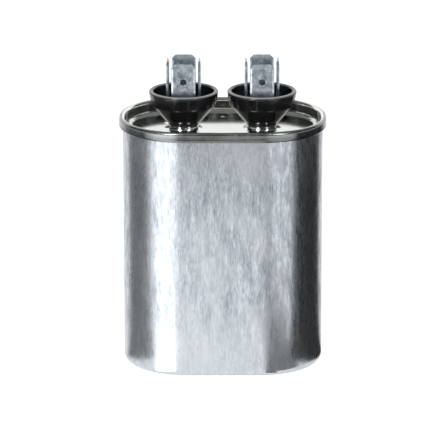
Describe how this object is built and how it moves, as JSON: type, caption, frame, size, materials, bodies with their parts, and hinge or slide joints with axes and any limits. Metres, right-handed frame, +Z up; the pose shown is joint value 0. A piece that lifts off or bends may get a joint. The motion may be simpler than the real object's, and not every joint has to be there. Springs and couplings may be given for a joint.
{
  "type": "motor run capacitor",
  "caption": "Oval aluminium can closed by a double-seamed lid, with insulating cup terminals carrying crossed quick-connect blades, and a wound film element inside.",
  "frame": {"origin": "centre of the can's flat base", "axes": "+Z up along the can to the terminals, X through both terminals (the wide way of the oval), Y across the narrow way"},
  "size_m": [0.055, 0.0386, 0.0821],
  "materials": {
    "can_aluminium": "drawn aluminium with fine vertical draw lines, bright satin",
    "lid_tinplate": "tin-plated steel sheet, smooth and bright, duller on the rolled seam",
    "seam_compound": "water-based sealing compound, dull dark green",
    "cup_phenolic": "moulded black phenolic, glossy",
    "gasket_rubber": "dull black rubber",
    "blade_tin": "tin plating on brass strip, satin, faintly mottled and bluish",
    "rivet_steel": "tin-plated steel, satin",
    "washer_nylon": "natural nylon, matt",
    "lug_tin": "tinned brass",
    "lead_sleeve_red": "red glass-braid sleeve over tinned wire",
    "lead_sleeve_blue": "blue glass-braid sleeve over tinned wire",
    "film": "metallised polypropylene film, silvery and glossy",
    "core_plastic": "natural polypropylene",
    "end_spray": "sprayed zinc, rough and grey",
    "wrap_film": "clear wrapping film, straw-coloured over the winding",
    "insulator_plastic": "moulded polypropylene, natural"
  },
  "bodies": {
    "root": {"can": "can_aluminium", "lid": "lid_tinplate", "seam_compound": "seam_compound", "left_cup": "cup_phenolic", "right_cup": "cup_phenolic", "left_gasket": "gasket_rubber", "right_gasket": "gasket_rubber", "left_wide_strip": "blade_tin", "right_wide_strip": "blade_tin", "left_narrow_strip": "blade_tin", "right_narrow_strip": "blade_tin", "left_rivet": "rivet_steel", "right_rivet": "rivet_steel", "left_inner_washer": "washer_nylon", "right_inner_washer": "washer_nylon", "left_lug": "lug_tin", "right_lug": "lug_tin", "top_lead": "lead_sleeve_red", "bottom_lead": "lead_sleeve_blue", "winding": "film", "core": "core_plastic", "top_end_spray": "end_spray", "bottom_end_spray": "end_spray", "outer_wrap": "wrap_film", "tray": "insulator_plastic", "stress_plate": "insulator_plastic"}
  },
  "joints": []
}
